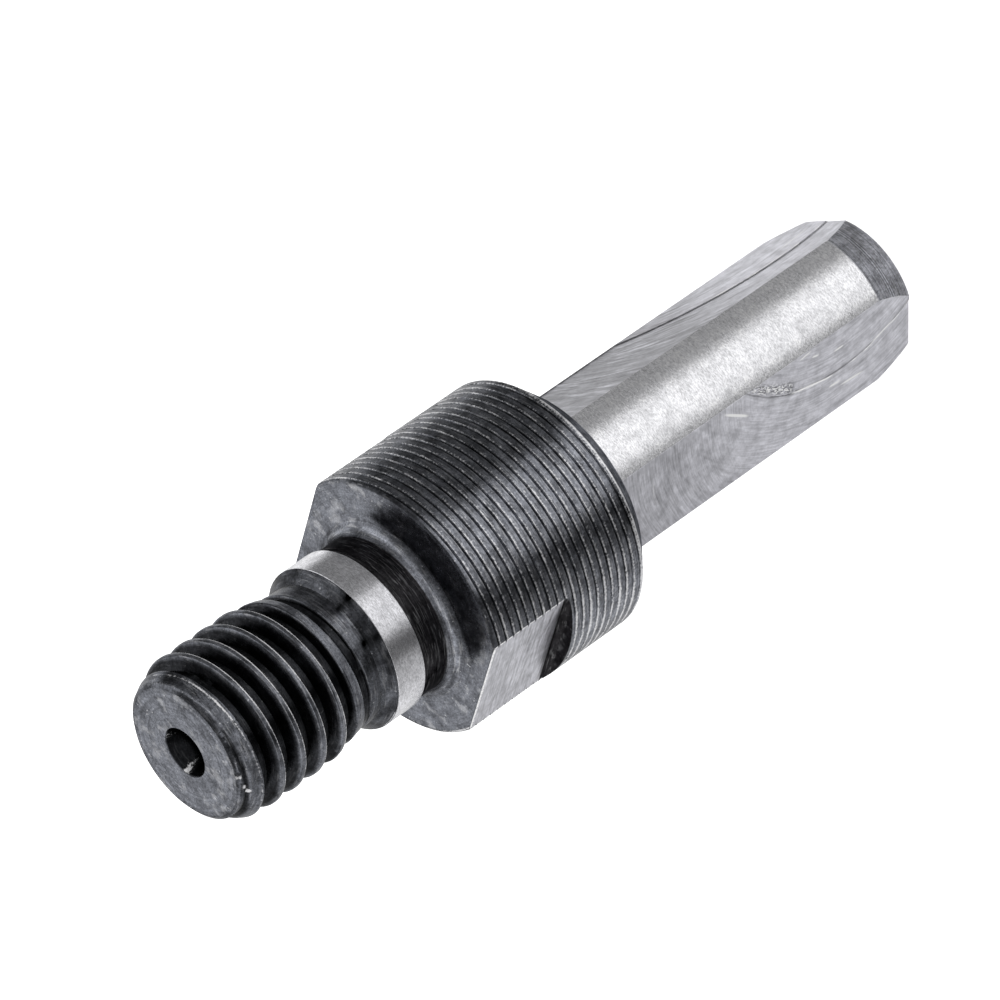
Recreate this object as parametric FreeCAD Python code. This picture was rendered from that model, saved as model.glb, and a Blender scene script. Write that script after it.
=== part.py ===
import FreeCAD, Part
import math
import os

# Angle grinder adapter: one turned and milled steel piece, in millimetres.
# It stands on the end of its drill shank. +Z runs up the axis to the spindle thread,
# and +X points out of one spanner flat. Every station below is a height above the floor.

# Drill shank, three flats milled into a round bar
shank_diameter = 10.0
shank_length = 24.1
shank_flat_distance = 4.18          # axis to each flat
shank_flat_count = 3
shank_flat_turn = 17.3              # degrees from the spanner flat to the first shank flat
shank_lead_length = 2.5             # long shallow lead at the shank's end
shank_lead_drop = 0.52              # radius lost over that lead
shank_lead_crown = 0.03             # how far the lead swells past a straight cone

# Collar with two spanner flats; its fine outside thread is left to the finish
collar_diameter = 15.4
collar_length = 12.3
collar_rear_chamfer = 1.15
collar_front_round = 0.15
spanner_size = 13.5                 # across the two flats
spanner_flat_length = 5.7
spanner_corner_radius = 0.4         # left by the cutter between floor and end wall

# Neck between the collar and the pilot band
neck_diameter = 9.4
neck_length = 2.5
neck_fillet = 0.95

# Ground pilot band, with a cone down to the thread relief
band_diameter = 9.75
band_width = 2.0

# Spindle thread, M10 x 1.5, right-hand
relief_diameter = 8.5
relief_length = 0.975
relief_taper = 2.5                  # long cone on which the thread fades into the relief
thread_crest_diameter = 9.6
thread_root_diameter = 8.16
thread_length = 6.775               # full crests and the lead chamfer
thread_pitch = 1.5
thread_angle = 60.0                 # included angle of the flanks
thread_root_width = 0.38
thread_lead_length = 1.55           # long chamfer at the thread's end
thread_lead_drop = 0.95             # radius lost over that chamfer
thread_runout = 0.75                # the groove ends this far short of the cone
thread_phase = 315.0                # degrees round the axis at which the groove ends

# Lathe centre hole in the thread's end
centre_mouth_diameter = 3.0
centre_cone_angle = 60.0            # included angle
centre_pilot_diameter = 1.25
centre_pilot_depth = 3.3
drill_point_angle = 118.0           # included angle

# How far the groove's section stands out of the crests
groove_clearance = 0.15

# Radii and heights worked out from the sizes above
shank_radius = shank_diameter / 2
collar_radius = collar_diameter / 2
neck_radius = neck_diameter / 2
band_radius = band_diameter / 2
relief_radius = relief_diameter / 2
crest_radius = thread_crest_diameter / 2
root_radius = thread_root_diameter / 2

collar_rear_z = shank_length
collar_front_z = collar_rear_z + collar_length
neck_front_z = collar_front_z + neck_length
band_front_z = neck_front_z + band_width
relief_rear_z = band_front_z + (band_radius - relief_radius)
relief_front_z = relief_rear_z + relief_length
thread_rear_z = relief_front_z + relief_taper
top_z = thread_rear_z + thread_length


def point(radius, z):
    return FreeCAD.Vector(radius, 0, z)


def turned_blank():
    """The whole bar as it leaves the lathe, before any thread or flat is cut."""
    diagonal = FreeCAD.Vector(1, 0, 1).normalize()
    lead_start = point(shank_radius - shank_lead_drop, 0)
    lead_end = point(shank_radius, shank_lead_length)
    lead_middle = (lead_start + lead_end) / 2 + point(shank_lead_crown, 0)
    round_centre = point(collar_radius - collar_front_round, collar_front_z - collar_front_round)
    round_middle = round_centre + diagonal * collar_front_round
    fillet_centre = point(neck_radius + neck_fillet, collar_front_z + neck_fillet)
    fillet_middle = fillet_centre - diagonal * neck_fillet
    side = [
        lead_end,
        point(shank_radius, collar_rear_z),
        point(collar_radius - collar_rear_chamfer, collar_rear_z),
        point(collar_radius, collar_rear_z + collar_rear_chamfer),
        point(collar_radius, round_centre.z),
    ]
    seat = [
        point(round_centre.x, collar_front_z),
        point(fillet_centre.x, collar_front_z),
    ]
    spindle = [
        point(neck_radius, fillet_centre.z),
        point(neck_radius, neck_front_z),
        point(band_radius, neck_front_z),
        point(band_radius, band_front_z),
        point(relief_radius, relief_rear_z),
        point(relief_radius, relief_front_z),
        point(crest_radius, thread_rear_z),
        point(crest_radius, top_z - thread_lead_length),
        point(crest_radius - thread_lead_drop, top_z),
        point(0, top_z),
        point(0, 0),
        lead_start,
    ]
    edges = [
        Part.Arc(lead_start, lead_middle, lead_end).toShape(),
        Part.Arc(side[-1], round_middle, seat[0]).toShape(),
        Part.Arc(seat[-1], fillet_middle, spindle[0]).toShape(),
    ]
    for run in (side, seat, spindle):
        edges += Part.makePolygon(run).Edges
    outline = Part.Wire(Part.__sortEdges__(edges))
    return Part.Face(outline).revolve(FreeCAD.Vector(0, 0, 0), FreeCAD.Vector(0, 0, 1), 360)


def centre_hole():
    """A lathe centre: a 60 degree mouth over a short drilled pilot."""
    mouth_radius = centre_mouth_diameter / 2
    pilot_radius = centre_pilot_diameter / 2
    cone_depth = (mouth_radius - pilot_radius) / math.tan(math.radians(centre_cone_angle / 2))
    tip_depth = pilot_radius / math.tan(math.radians(drill_point_angle / 2))
    pilot_floor_z = top_z - centre_pilot_depth
    outline = Part.makePolygon([
        point(0, top_z),
        point(mouth_radius, top_z),
        point(pilot_radius, top_z - cone_depth),
        point(pilot_radius, pilot_floor_z),
        point(0, pilot_floor_z - tip_depth),
        point(0, top_z),
    ])
    return Part.Face(outline).revolve(FreeCAD.Vector(0, 0, 0), FreeCAD.Vector(0, 0, 1), 360)


def spindle_thread_groove():
    """The thread's right-hand groove, from its run-out in the relief to past the lead chamfer.

    A trapezoid is swept up a helix of one turn to an edge, because a single long edge
    upsets the cut. The section stands a little out of the crests so that it cuts clean.
    """
    low_z = relief_rear_z + thread_runout
    height = top_z + thread_pitch - low_z
    outer_radius = crest_radius + groove_clearance
    half_root = thread_root_width / 2
    half_mouth = half_root + (outer_radius - root_radius) * math.tan(math.radians(thread_angle / 2))
    section = Part.makePolygon([
        point(root_radius, -half_root),
        point(outer_radius, -half_mouth),
        point(outer_radius, half_mouth),
        point(root_radius, half_root),
        point(root_radius, -half_root),
    ])
    helix = Part.makeLongHelix(thread_pitch, height, root_radius, 0, False)
    groove = Part.Wire(helix.Edges).makePipeShell([section], True, True)
    groove.rotate(FreeCAD.Vector(0, 0, 0), FreeCAD.Vector(0, 0, 1), thread_phase)
    groove.translate(FreeCAD.Vector(0, 0, low_z))
    return groove


def spanner_flat_cut(side):
    """The metal milled off one side of the collar; side is 1 for +X and -1 for -X."""
    floor_x = spanner_size / 2
    outside_x = collar_diameter
    wall_z = collar_front_z - spanner_flat_length
    open_z = collar_front_z + collar_front_round
    bend = spanner_corner_radius
    centre = point(floor_x + bend, wall_z + bend)
    middle = centre - FreeCAD.Vector(1, 0, 1).normalize() * bend
    corner = Part.Arc(point(floor_x, wall_z + bend), middle, point(floor_x + bend, wall_z)).toShape()
    rest = Part.makePolygon([
        point(floor_x + bend, wall_z),
        point(outside_x, wall_z),
        point(outside_x, open_z),
        point(floor_x, open_z),
        point(floor_x, wall_z + bend),
    ])
    outline = Part.Wire(Part.__sortEdges__([corner] + rest.Edges))
    outline.translate(FreeCAD.Vector(0, -collar_diameter / 2, 0))
    cut = Part.Face(outline).extrude(FreeCAD.Vector(0, collar_diameter, 0))
    if side < 0:
        cut.rotate(FreeCAD.Vector(0, 0, 0), FreeCAD.Vector(0, 0, 1), 180)
    return cut


def shank_flat_cut(number):
    """The metal milled off one side of the shank, right up to the collar."""
    depth = shank_diameter
    cut = Part.makeBox(depth, shank_diameter, shank_length + shank_lead_length)
    cut.translate(FreeCAD.Vector(shank_flat_distance, -shank_diameter / 2, -shank_lead_length))
    turn = shank_flat_turn + number * 360 / shank_flat_count
    cut.rotate(FreeCAD.Vector(0, 0, 0), FreeCAD.Vector(0, 0, 1), turn)
    return cut


def adapter():
    body = turned_blank()
    body = body.cut(spindle_thread_groove())
    for side in (1, -1):
        body = body.cut(spanner_flat_cut(side))
    for number in range(shank_flat_count):
        body = body.cut(shank_flat_cut(number))
    body = body.cut(centre_hole())
    return body.Solids[0]


os.makedirs("parts", exist_ok=True)
adapter().exportStep("parts/adapter_body.step")
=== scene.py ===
import math
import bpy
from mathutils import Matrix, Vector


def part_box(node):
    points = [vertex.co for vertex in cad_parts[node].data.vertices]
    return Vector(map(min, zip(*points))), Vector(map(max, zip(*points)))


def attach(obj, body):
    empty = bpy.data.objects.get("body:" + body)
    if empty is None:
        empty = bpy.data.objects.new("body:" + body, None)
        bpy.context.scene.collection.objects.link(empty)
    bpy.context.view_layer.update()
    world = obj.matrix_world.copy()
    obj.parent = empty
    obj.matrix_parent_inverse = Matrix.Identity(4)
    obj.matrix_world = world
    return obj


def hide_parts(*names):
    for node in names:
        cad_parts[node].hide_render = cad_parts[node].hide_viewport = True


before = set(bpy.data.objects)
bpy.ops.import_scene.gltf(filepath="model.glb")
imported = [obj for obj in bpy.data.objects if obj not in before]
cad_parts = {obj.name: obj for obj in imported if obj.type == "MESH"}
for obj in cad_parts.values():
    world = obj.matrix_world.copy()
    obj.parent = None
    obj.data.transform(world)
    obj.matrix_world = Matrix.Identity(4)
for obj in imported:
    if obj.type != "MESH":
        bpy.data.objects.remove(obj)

from types import SimpleNamespace

import bmesh
import bpy
import numpy as np
from bpy.props import FloatProperty, FloatVectorProperty, PointerProperty
from mathutils import Matrix, Vector

bl_info = {
    "name": "Grinder Adapter",
    "version": (1, 0, 0),
    "blender": (4, 5, 0),
    "location": "3D View > Sidebar > Adapter",
    "description": "A turned and milled steel adapter that stands on its drill shank",
    "category": "Object",
}

# The solid that the pieces stand for, and its height in millimetres
BODY = "adapter_body"
TOP = float(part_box(BODY)[1][2]) * 1000

# Vertices closer than this are one vertex, in metres
WELD = 2e-7

# How far each piece reaches into its neighbour, so that no gap shows, in millimetres
THREAD_REACH = 0.05
BAND_REACH = 0.1
SHANK_REACH = 0.3

# Slopes of a thread's flank, which the centre hole's cone shares, and of a drill's point
FLANK = math.tan(math.radians(30))
DRILL_POINT = math.tan(math.radians(59))

# Cells round the axis
THREAD_COLUMNS = 384
BAND_COLUMNS = 256
COLLAR_COLUMNS = 400

# Sharp edges show where two faces meet at more than this many degrees
SHARP_TURNED = 38
SHARP_COLLAR = 30
SHARP_SHANK = 14

# Sets the lathe's lines of an end face apart from those of the side next to it, in millimetres
FACE_LINES = 10


def linear(code):
    """An sRGB hex colour as linear red, green and blue."""
    parts = [int(code[i:i + 2], 16) / 255 for i in (0, 2, 4)]
    return tuple(c / 12.92 if c <= 0.04045 else ((c + 0.055) / 1.055) ** 2.4 for c in parts)


def length(name, description, value):
    """A size in metres that the sidebar shows in the scene's units."""
    return FloatProperty(name=name, description=description, default=value, min=0, precision=5,
                         unit="LENGTH")


def degrees(name, description, value):
    """An angle, given here in degrees."""
    return FloatProperty(name=name, description=description, default=math.radians(value),
                         subtype="ANGLE")


def colour(name, description, code):
    """A colour, given here as an sRGB hex code."""
    return FloatVectorProperty(name=name, description=description, default=linear(code),
                               subtype="COLOR", size=3, min=0, max=1)


class AdapterThreadSizes(bpy.types.PropertyGroup):
    crest: length("Crest radius", "From the axis to the thread's crests", 0.0048)
    root: length("Root radius", "From the axis to the floor of the groove", 0.00408)
    pitch: length("Pitch", "Rise of the thread in one turn", 0.0015)
    root_width: length("Root width", "Width of the groove's floor", 0.00038)
    crest_round: length("Crest rounding", "How far the crests' edges are worn round", 0.00013)
    lead: length("Lead length", "Length of the chamfer at the thread's end", 0.00155)
    lead_drop: length("Lead drop", "Radius lost over that chamfer", 0.00095)
    edge: length("End edge", "Height of the small round at the end face", 0.00018)
    edge_drop: length("End edge drop", "Radius lost over that round", 0.00025)
    start: length("Groove start", "Height at which the groove runs out in the relief", 0.042275)
    phase: degrees("Groove turn", "Angle round the axis at which the groove runs out", 315)
    relief: length("Relief radius", "From the axis to the thread's relief", 0.00425)
    relief_low: length("Relief foot", "Height at which the relief starts", 0.041525)
    relief_high: length("Relief head", "Height at which the relief ends", 0.0425)
    full: length("Full thread", "Height at which the crests start", 0.045)
    mouth: length("Centre mouth", "Radius of the centre hole at the end face", 0.0015)
    pilot: length("Centre pilot", "Radius of the small hole under the centre's cone", 0.000625)
    pilot_depth: length("Pilot depth", "Depth of that small hole", 0.0033)


class AdapterBandSizes(bpy.types.PropertyGroup):
    neck: length("Neck radius", "From the axis to the neck", 0.0047)
    fillet: length("Fillet", "Radius between the neck and the collar", 0.00095)
    low: length("Band foot", "Height at which the ground band starts", 0.0389)
    high: length("Band head", "Height at which the ground band ends", 0.0409)
    radius: length("Band radius", "From the axis to the ground band", 0.004875)
    edge: length("Edge break", "How far the band's two edges are broken", 0.00004)


class AdapterCollarSizes(bpy.types.PropertyGroup):
    radius: length("Collar radius", "From the axis to the fine thread's lands", 0.0077)
    low: length("Collar foot", "Height of the collar's rear face", 0.0241)
    high: length("Collar head", "Height of the collar's front face", 0.0364)
    chamfer: length("Rear chamfer", "Chamfer at the collar's rear", 0.00115)
    front: length("Front round", "Round at the collar's front edge", 0.00015)
    pitch: length("Fine pitch", "Rise of the fine thread in one turn", 0.000555)
    groove: length("Fine groove", "Width of the fine thread's groove", 0.00017)
    depth: length("Fine depth", "Depth of the fine thread's groove", 0.00012)
    groove_height: length("Fine groove height", "Height of one groove at the angle below", 0.03053)
    groove_turn: degrees("Fine groove turn", "Angle at which a groove has that height", 67.4)
    flat: length("Spanner flat", "From the axis to each spanner flat", 0.00675)
    flat_low: length("Flat foot", "Height of the wall that ends the spanner flats", 0.0307)
    corner: length("Flat corner", "Radius between the flat and that wall", 0.0004)


class AdapterShankSizes(bpy.types.PropertyGroup):
    radius: length("Shank radius", "From the axis to the round strips", 0.005)
    flat: length("Flat", "From the axis to each milled flat", 0.00418)
    turn: degrees("First flat", "Angle of the first flat from the spanner flat", 17.3)
    lead: length("Lead length", "Length of the shallow lead at the end", 0.0025)
    drop: length("Lead drop", "Radius lost over that lead", 0.00052)
    step: length("Cutter step", "Height of the step that the cutter left", 0.00005)


class AdapterColours(bpy.types.PropertyGroup):
    oxide: colour("Black oxide", "Oiled black finish on turned steel", "67696f")
    lead: colour("Turned lead", "Dark grey of the turned lead on the shank", "85868c")
    neck: colour("Neck", "Darker, browner black in the neck", "302f31")
    bare: colour("Worn edge", "Bare steel where the black has gone", "f0f0f2")
    ground: colour("Ground steel", "Bright satin of the shank's strips", "ededf0")
    band: colour("Ground band", "Satin of the band, a little duller than the shank", "d4d4d8")
    milled: colour("Milled steel", "Grey of the milled flats", "d3d3da")
    floor: colour("Floor", "Pale floor", "ffffff")


class AdapterStage(bpy.types.PropertyGroup):
    focal: FloatProperty(name="Focal length", description="Lens of the camera in millimetres",
                         default=263.1, min=1)
    distance: length("Camera distance", "From the aim point to the camera", 0.39237)
    azimuth: degrees("Camera azimuth", "Direction of the camera round the part", 67.0)
    elevation: degrees("Camera elevation", "Height of the camera over the floor", 32.2185)
    roll: degrees("Camera roll", "Turn of the camera about its own axis", -124.729)
    floor_size: length("Floor size", "Side of the pale floor", 6.0)


def in_mm(group):
    """A property group's lengths in millimetres and its angles in radians, as plain numbers."""
    values = {}
    for key, prop in group.bl_rna.properties.items():
        if prop.type == "FLOAT":
            values[key] = getattr(group, key) * (1000 if prop.unit == "LENGTH" else 1)
    return SimpleNamespace(**values)


# Surfaces on a grid. Rows run up the part and columns run round it, all in millimetres.

def grid_object(name, x, y, z, marks, materials, pick):
    """A closed mesh object from a grid of points.

    Each cell between two rows and two columns is one quad. Points that fall together,
    at the seam, at a pole or on a clamped edge, are welded, which closes the surface.
    marks are named numbers for each point, and pick gives each cell its material.
    """
    rows, columns = x.shape
    index = np.arange(rows * columns).reshape(rows, columns)
    quads = np.stack([index[:-1, :-1], index[:-1, 1:], index[1:, 1:], index[1:, :-1]], axis=-1)
    points = np.stack([x, y, z], axis=-1).reshape(-1, 3) / 1000
    mesh = bpy.data.meshes.new(name)
    mesh.vertices.add(len(points))
    mesh.vertices.foreach_set("co", points.astype(np.float32).ravel())
    mesh.loops.add(quads.size)
    mesh.loops.foreach_set("vertex_index", quads.astype(np.int32).ravel())
    mesh.polygons.add(quads.size // 4)
    mesh.polygons.foreach_set("loop_start", np.arange(0, quads.size, 4, dtype=np.int32))
    mesh.update(calc_edges=True)
    for key, values in marks.items():
        layer = mesh.attributes.new(key, "FLOAT", "POINT")
        layer.data.foreach_set("value", np.broadcast_to(values, x.shape).astype(np.float32).ravel())
    for material in materials:
        mesh.materials.append(material)
    middle = (z[:-1, :-1] + z[:-1, 1:] + z[1:, 1:] + z[1:, :-1]) / 4
    chosen = np.broadcast_to(pick(middle), middle.shape).astype(np.int32)
    mesh.polygons.foreach_set("material_index", chosen.ravel())
    weld(mesh)
    piece = bpy.data.objects.new(name, mesh)
    bpy.context.scene.collection.objects.link(piece)
    return piece


def weld(mesh):
    """Merges points that fall together, drops cells without area and checks for open edges."""
    bm = bmesh.new()
    bm.from_mesh(mesh)
    bmesh.ops.remove_doubles(bm, verts=bm.verts, dist=WELD)
    bmesh.ops.dissolve_degenerate(bm, edges=bm.edges, dist=WELD)
    loose = [v for v in bm.verts if not v.link_faces]
    bmesh.ops.delete(bm, geom=loose, context="VERTS")
    opened = sum(1 for e in bm.edges if len(e.link_faces) != 2)
    bm.to_mesh(mesh)
    bm.free()
    if opened:
        raise RuntimeError(f"{mesh.name} has {opened} open edges")


def finish_piece(piece, sharp):
    """Smooth shading with sharp edges over an angle, and the piece's place in the frame."""
    mesh = piece.data
    mesh.polygons.foreach_set("use_smooth", np.ones(len(mesh.polygons), dtype=bool))
    mesh.set_sharp_from_angle(angle=math.radians(sharp))
    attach(piece, "root")
    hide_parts(BODY)


def path_length(radius, height):
    """Distance walked along a profile, which numbers the lathe's lines."""
    walked = np.hypot(np.diff(radius), np.diff(height))
    return np.concatenate([[0], np.cumsum(walked)])


def smooth_step(value, low, high):
    """0 below low, 1 above high, and a smooth cubic between them."""
    t = np.clip((value - low) / (high - low), 0, 1)
    return t * t * (3 - 2 * t)


def bell(value, middle, width, power=2):
    """1 in the middle, fading to the sides: exp(-(distance from the middle / width) to a power)."""
    return np.exp(-((value - middle) / width) ** power)


def soft_min(a, b, width):
    """The smaller of two heights, rounded over a width where they cross."""
    h = np.clip(0.5 + 0.5 * (b - a) / width, 0, 1)
    return b * (1 - h) + a * h - width * h * (1 - h)


def helical_rows(offsets, pitch, at_zero, low, high, turns):
    """Heights of rows that climb one pitch per turn, held between low and high.

    Row heights are groove height + offset + pitch x whole number + pitch x turns, so each
    row stays at one place of the thread's section all the way round.
    """
    first = math.floor((low - at_zero) / pitch) - 1
    last = math.ceil((high - at_zero) / pitch) + 1
    starts = at_zero + pitch * np.arange(first, last + 1)
    rows = (starts[:, None] + offsets[None, :]).ravel()
    rows = rows[(rows > low - pitch * 1.001) & (rows < high + 1e-6)]
    rows = np.concatenate([[low - pitch * 1.5] * 2, rows, [high + 1e-3] * 2])
    return np.clip(rows[:, None] + pitch * turns[None, :], low, high)


def snap_rows(heights, corners):
    """Moves the nearest row of each column on to each corner's height, so corners stay crisp."""
    for corner in corners:
        nearest = np.abs(heights - corner).argmin(axis=0)
        heights[nearest, np.arange(heights.shape[1])] = corner
    return heights


def noise_round(turns, seed, waves):
    """A smooth closed ripple round the axis: a few sine waves of seeded phase and whole number."""
    rng = np.random.default_rng(seed)
    total = np.zeros_like(turns)
    for wave in waves:
        total += rng.uniform(0.4, 1) * np.sin(2 * np.pi * (wave * turns + rng.uniform()))
    return total / len(waves)


def turned_skin(turns, z, radius, foot, head, marks):
    """Points of a turned surface, with plain rows added under and over it.

    foot and head are profiles, each a radius and a height for every added row, and each mark
    has a value for the foot, its grid and a value for the head. x is radius times the cosine
    of the angle, and y is radius times its sine.
    """
    ones = np.ones((1, len(turns)))
    all_r = np.vstack([foot[0][:, None] * ones, radius, head[0][:, None] * ones])
    all_z = np.vstack([foot[1][:, None] * ones, z, head[1][:, None] * ones])
    angle = 2 * np.pi * turns[None, :]
    angle = np.where(angle > 2 * np.pi - 1e-9, 0, angle)
    full = {}
    for key, (below, values, above) in marks.items():
        full[key] = np.vstack([np.full((len(foot[0]), 1), below) * ones, values,
                               np.full((len(head[0]), 1), above) * ones])
    return all_r * np.cos(angle), all_r * np.sin(angle), all_z, full


# Materials

def add(tree, kind, inputs=(), **settings):
    """Adds a shader node, sets its own settings, and sets or links its inputs.

    Inputs are named, or stand in the node's own order. For a map range that is the value, the
    two ends between which it comes in, and the two ends between which it goes out. Where an
    input is given as a node, that node's first output is linked to it.
    """
    node = tree.nodes.new("ShaderNode" + kind)
    for key, value in settings.items():
        setattr(node, key, value)
    for key, value in inputs.items() if isinstance(inputs, dict) else enumerate(inputs):
        if isinstance(value, bpy.types.Node):
            value = value.outputs[0]
        if isinstance(value, bpy.types.NodeSocket):
            tree.links.new(value, node.inputs[key])
        else:
            node.inputs[key].default_value = value
    return node


def per_mm(size):
    """Noise scale at which one cell is this many millimetres, in coordinates that are metres."""
    return 1000 / size


def new_material(name):
    material = bpy.data.materials.new(name)
    material.use_nodes = True
    material.node_tree.nodes.clear()
    return material, material.node_tree


def metal(material, inputs):
    """Gives a material its metal surface with the given inputs, and hands it back."""
    tree = material.node_tree
    shader = add(tree, "BsdfPrincipled", {"Metallic": 1.0, **inputs})
    add(tree, "OutputMaterial", {"Surface": shader})
    return material


def rgb(value):
    return (value[0], value[1], value[2], 1)


# Depths of the lathe's lines, the grain, the grit marks and the feed lines, in metres
LINE_DEPTH, GRAIN_DEPTH, GRIT_DEPTH, FEED_DEPTH = 3e-5, 1.5e-5, 1.6e-5, 2e-5

# Roughness of bare steel along a worn edge
WORN_ROUGHNESS = 0.42

# Scratches through the black: how they are turned, their size in millimetres, how many times
# longer than wide they are, and their strength
SCRATCHES = (((0.4, 1.1, 0.3), 1.1, 13, 0.2), ((1.3, 0.2, 0.9), 1.4, 15, 0.15))

# Ways in which the grinder's grit marks lie
GRIT_TURNS = ((0.25, 0.3, 0), (-0.3, -0.2, 0))

# Turned finishes: colour, roughness, strength and width in millimetres of the lathe's lines,
# grain, tint of the light at a grazing angle, and strength of the bright flecks
TURNED_FINISHES = {
    # Smooth black with a soft sheen and bright flecks
    "black_oxide_steel": ("oxide", 0.23, 0.2, 0.2, 0.3, 0.6, 0.35),
    # Darker, browner and duller, without flecks
    "brown_black_oxide_steel": ("neck", 0.36, 0.4, 0.16, 0.3, 0.4, 0.0),
    # Dull and grainy, with a weak sheen
    "rough_black_oxide_steel": ("oxide", 0.55, 0.5, 0.12, 0.8, 0.2, 0.5),
    # Dark grey, with fine and strong turned lines
    "turned_dark_steel": ("lead", 0.36, 0.6, 0.09, 0.35, 1.0, 0.2),
}

# Ground finishes: colour, and how deep the grit marks bite
GROUND_FINISHES = {
    # Bright satin that sparkles
    "ground_steel": ("ground", 0.45),
    # A little duller and smoother
    "ground_band_steel": ("band", 0.3),
}

# Milled finishes: width of a feed line in millimetres, roughness, contrast of the feed lines,
# and the darkest and the lightest of the dull patches
MILLED_FINISHES = {
    # Light grey with fine, faint feed lines
    "milled_steel": (0.11, 0.38, 0.16, 0.76, 1.14),
    # Darker, with wider and stronger feed lines
    "milled_spanner_steel": (0.16, 0.4, 0.3, 0.56, 0.84),
}


def black_oxide_steel(name, dark, bare, rough, lines, line_size, grain, tint, flecks):
    """Turned steel with an oiled black oxide finish.

    The lathe's lines show as fine rings, the black is mottled and deepest in the grooves and the
    centre hole, partly as painted shade, and bare steel shows in scratches, in specks and along the
    edges that rub, which also carry painted highlights and glints. Specks and grain are drawn
    coarser than the real ones, which are too fine to show.
    """
    material, tree = new_material(name)
    place = add(tree, "TexCoord").outputs["Object"]
    turned, wear, deep = [add(tree, "Attribute", attribute_name=key).outputs["Fac"]
                          for key in ("turned", "wear", "deep")]
    blotch, speck, dust = [
        add(tree, "TexNoise", {"Vector": place, "Scale": per_mm(size), "Detail": detail,
                               "Roughness": harsh})
        for size, detail, harsh in ((0.9, 8.0, 0.72), (0.13, 3.0, 0.7), (0.16, 0.0, 0.5))]
    ring_place = add(tree, "Math", (turned, 1 / line_size), operation="MULTIPLY")
    rings = add(tree, "TexNoise", {"W": ring_place, "Scale": 1.0, "Detail": 4.0, "Roughness": 0.7},
                noise_dimensions="1D")
    tone = add(tree, "MapRange", (blotch, 0.38, 0.62, 0.55, 1.45))
    ring_tone = add(tree, "MapRange", (rings, 0.35, 0.65, 1 - lines, 1 + lines))
    darker = add(tree, "Math", (deep, -0.85, 1.0), operation="MULTIPLY_ADD")
    grainy = add(tree, "Math", (speck, 2.2, -0.1), operation="MULTIPLY_ADD")
    for part in (ring_tone, darker, grainy):
        tone = add(tree, "Math", (tone, part), operation="MULTIPLY")
    base = add(tree, "Mix", {"Factor": 1.0, 6: rgb(dark), 7: tone}, data_type="RGBA",
               blend_type="MULTIPLY")
    rub = add(tree, "Math", (speck, 1.6, -0.8), operation="MULTIPLY_ADD")
    worn = add(tree, "Math", (wear, rub), operation="ADD")
    worn_edge = add(tree, "MapRange", (worn, 0.3, 0.9), interpolation_type="SMOOTHSTEP")
    light = add(tree, "MapRange", (dust, 0.79, 0.84, 0.0, flecks))
    for turn, size, thin, strength in SCRATCHES:
        slim = add(tree, "Mapping", {"Vector": place, "Rotation": turn, "Scale": (1, 1, thin)})
        noise = add(tree, "TexNoise", {"Vector": slim, "Scale": per_mm(size), "Detail": 3.0,
                                       "Roughness": 0.6})
        scratch = add(tree, "MapRange", (noise, 0.56, 0.68, 0.0, strength),
                      interpolation_type="SMOOTHSTEP")
        light = add(tree, "Math", (light, scratch), operation="MAXIMUM")
    shown = add(tree, "Math", (light, darker), operation="MULTIPLY", use_clamp=True)
    share = add(tree, "Math", (worn_edge, shown), operation="MAXIMUM")
    mixed = add(tree, "Mix", {"Factor": share, 6: base.outputs[2], 7: rgb(bare)}, data_type="RGBA")
    roughness = add(tree, "MapRange", (blotch, 0.3, 0.7, rough - 0.07, rough + 0.1))
    rougher = add(tree, "Mix", {"Factor": worn_edge, 2: roughness, 3: WORN_ROUGHNESS},
                  data_type="FLOAT")
    ring_bump = add(tree, "Bump", {"Height": rings, "Strength": lines, "Distance": LINE_DEPTH})
    bump = add(tree, "Bump", {"Height": speck, "Strength": grain, "Distance": GRAIN_DEPTH,
                              "Normal": ring_bump})
    return metal(material, {"Base Color": mixed.outputs[2], "Roughness": rougher, "Normal": bump,
                            "Specular Tint": rgb((tint, tint, tint))})


def ground_steel(name, tint, bite):
    """Steel left bright from the grinder.

    Short grit marks lie across each other, so the satin highlight breaks into small
    sparkles, and dull patches mottle it. The marks are drawn coarser than real grit leaves
    them, which would be too fine to show.
    """
    material, tree = new_material(name)
    place = add(tree, "TexCoord").outputs["Object"]
    grit = []
    for turn in GRIT_TURNS:
        slim = add(tree, "Mapping", {"Vector": place, "Rotation": turn, "Scale": (1, 1, 2.4)})
        grit.append(add(tree, "TexNoise", {"Vector": slim, "Scale": per_mm(0.2), "Detail": 3.0,
                                           "Roughness": 0.75}))
    both = add(tree, "Math", grit, operation="ADD")
    patch = add(tree, "TexNoise", {"Vector": place, "Scale": per_mm(0.8), "Detail": 5.0,
                                   "Roughness": 0.65})
    dull = add(tree, "MapRange", (patch, 0.3, 0.7, 0.8, 1.1))
    spark = add(tree, "MapRange", (both, 0.8, 1.2, 0.73, 1.27))
    roughness = add(tree, "MapRange", (patch, 0.3, 0.7, 0.3, 0.2))
    tone = add(tree, "Math", (dull, spark), operation="MULTIPLY")
    base = add(tree, "Mix", {"Factor": 1.0, 6: rgb(tint), 7: tone}, data_type="RGBA",
               blend_type="MULTIPLY", clamp_result=True)
    bump = add(tree, "Bump", {"Height": both, "Strength": bite, "Distance": GRIT_DEPTH})
    return metal(material, {"Base Color": base.outputs[2], "Roughness": roughness, "Normal": bump})


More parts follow.
